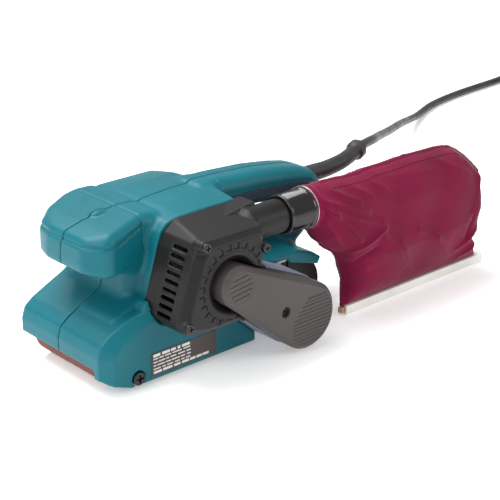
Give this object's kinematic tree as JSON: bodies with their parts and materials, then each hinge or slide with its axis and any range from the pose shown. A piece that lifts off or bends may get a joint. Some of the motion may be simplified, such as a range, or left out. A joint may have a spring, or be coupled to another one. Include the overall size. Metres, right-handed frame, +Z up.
{
  "type": "handheld belt sander",
  "caption": "Handheld belt sander with a front knob, D-handle, side belt cover, motor cover with air slots, and a cloth dust bag on a nozzle.",
  "frame": {"origin": "on the sanding belt's flat underside, on the centre plane of the belt, 47 mm in front of the drive roller's axis", "axes": "+X along the belt from the front knob to the rear handle, -Y towards the motor cover and belt cover, +Z up from the surface being sanded"},
  "size_m": [1.052, 0.4363, 0.1278],
  "materials": {
    "teal_plastic": "fine grained moulded plastic",
    "black_plastic": "fine grained moulded plastic",
    "grey_cover": "satin moulded plastic",
    "lilac_cover": "satin moulded plastic",
    "cast_frame": "die-cast",
    "steel": "machined",
    "screw_steel": "blackened",
    "rubber": "matte",
    "abrasive": "coated abrasive cloth",
    "label": "printed foil",
    "copper": "enamelled copper",
    "graphite": "graphite cloth",
    "bag_cloth": "woven cloth",
    "collar": "glossy",
    "white_plastic": "satin",
    "wood": "plain",
    "cord_rubber": "satin",
    "brass": "plated"
  },
  "bodies": {
    "frame": {"base_frame": "cast_frame", "housing_left": "teal_plastic", "housing_right": "teal_plastic", "housing_screws": "screw_steel", "motor_cover": "black_plastic", "motor_cover_screws": "screw_steel", "belt_cover": "grey_cover", "belt_cover_screw": "screw_steel", "inner_belt_cover": "lilac_cover", "rating_label": "label", "platen_pad": "graphite", "platen_plate": "steel", "field_core": "steel", "field_coils": "copper", "brush_holders": "brass", "carbon_brushes": "graphite", "armature_bearings": "steel", "gear_plate": "cast_frame", "gear_case": "cast_frame", "countershaft_bearings": "steel", "drive_bearings": "steel", "switch_body": "black_plastic", "cord_guard": "cord_rubber", "mains_cord": "cord_rubber", "cord_coil": "cord_rubber", "plug_body": "cord_rubber", "plug_pins": "brass", "rear_dust_hood": "black_plastic", "sanding_belt": "abrasive", "toothed_belt": "rubber", "lever_pin": "steel", "fork_spring": "steel"},
    "armature": {"armature_shaft": "steel", "armature_core": "steel", "armature_windings": "copper", "commutator": "copper", "cooling_fan": "black_plastic"},
    "countershaft": {"countershaft": "steel", "helical_gear": "steel", "small_pulley": "steel"},
    "drive_roller": {"drive_roller_lagging": "rubber", "drive_roller_core": "cast_frame", "drive_shaft": "steel", "large_pulley": "steel"},
    "fork": {"roller_fork": "steel", "front_axle": "steel"},
    "front_roller": {"front_roller": "cast_frame", "front_bearings": "steel"},
    "tension_lever": {"tension_lever": "black_plastic"},
    "tracking_screw": {"tracking_screw": "screw_steel"},
    "trigger": {"trigger": "black_plastic"},
    "lock_button": {"lock_button": "black_plastic"},
    "bag": {"bag_collar": "collar", "dust_bag": "bag_cloth", "bag_stick": "wood"},
    "bag_rail": {"bag_rail": "white_plastic"}
  },
  "joints": [
    {"name": "drive_roller_spin", "type": "hinge", "parent": "frame", "child": "drive_roller", "pos_m": [0.0473, 0, 0.02725], "axis": [0, 1, 0], "continuous": true},
    {"name": "countershaft_spin", "type": "hinge", "parent": "frame", "child": "countershaft", "pos_m": [-0.0365, 0, 0.0765], "axis": [0, 1, 0], "continuous": true},
    {"name": "armature_spin", "type": "hinge", "parent": "frame", "child": "armature", "pos_m": [-0.02364, 0, 0.09182], "axis": [0, 1, 0], "continuous": true},
    {"name": "fork_slide", "type": "slide", "parent": "frame", "child": "fork", "axis": [1, 0, 0], "range_m": [0, 0.007], "stiffness_N_per_m": 900, "springref_m": -0.01, "deforming": ["fork_spring"]},
    {"name": "front_roller_spin", "type": "hinge", "parent": "fork", "child": "front_roller", "pos_m": [-0.1067, 0, 0.02125], "axis": [0, 1, 0], "continuous": true},
    {"name": "tension_lever_swing", "type": "hinge", "parent": "frame", "child": "tension_lever", "pos_m": [-0.03, 0.034, 0.025], "axis": [0, 0, 1], "range_deg": [0, 70.1]},
    {"name": "tracking_screw_turn", "type": "hinge", "parent": "frame", "child": "tracking_screw", "pos_m": [-0.1015, -0.0575, 0.0086], "axis": [0, -1, 0], "range_deg": [-360, 360]},
    {"name": "trigger_pull", "type": "slide", "parent": "frame", "child": "trigger", "axis": [0, 0, 1], "range_m": [0, 0.004], "stiffness_N_per_m": 900, "springref_m": -0.002},
    {"name": "lock_button_press", "type": "slide", "parent": "frame", "child": "lock_button", "axis": [0, -1, 0], "range_m": [0, 0.002], "stiffness_N_per_m": 600, "springref_m": -0.001},
    {"name": "bag_pull_off", "type": "slide", "parent": "frame", "child": "bag", "axis": [1, 0, 0], "range_m": [0, 0.06]},
    {"name": "bag_rail_slide", "type": "slide", "parent": "bag", "child": "bag_rail", "axis": [1, 0, 0], "range_m": [0, 0.18]}
  ],
  "couplings": [
    {"joint": "countershaft_spin", "follows": "drive_roller_spin", "ratio": 2},
    {"joint": "armature_spin", "follows": "drive_roller_spin", "ratio": -6},
    {"joint": "front_roller_spin", "follows": "drive_roller_spin", "ratio": 1.2906},
    {"joint": "tension_lever_swing", "follows": "fork_slide", "rad_per_m": 174.53}
  ]
}
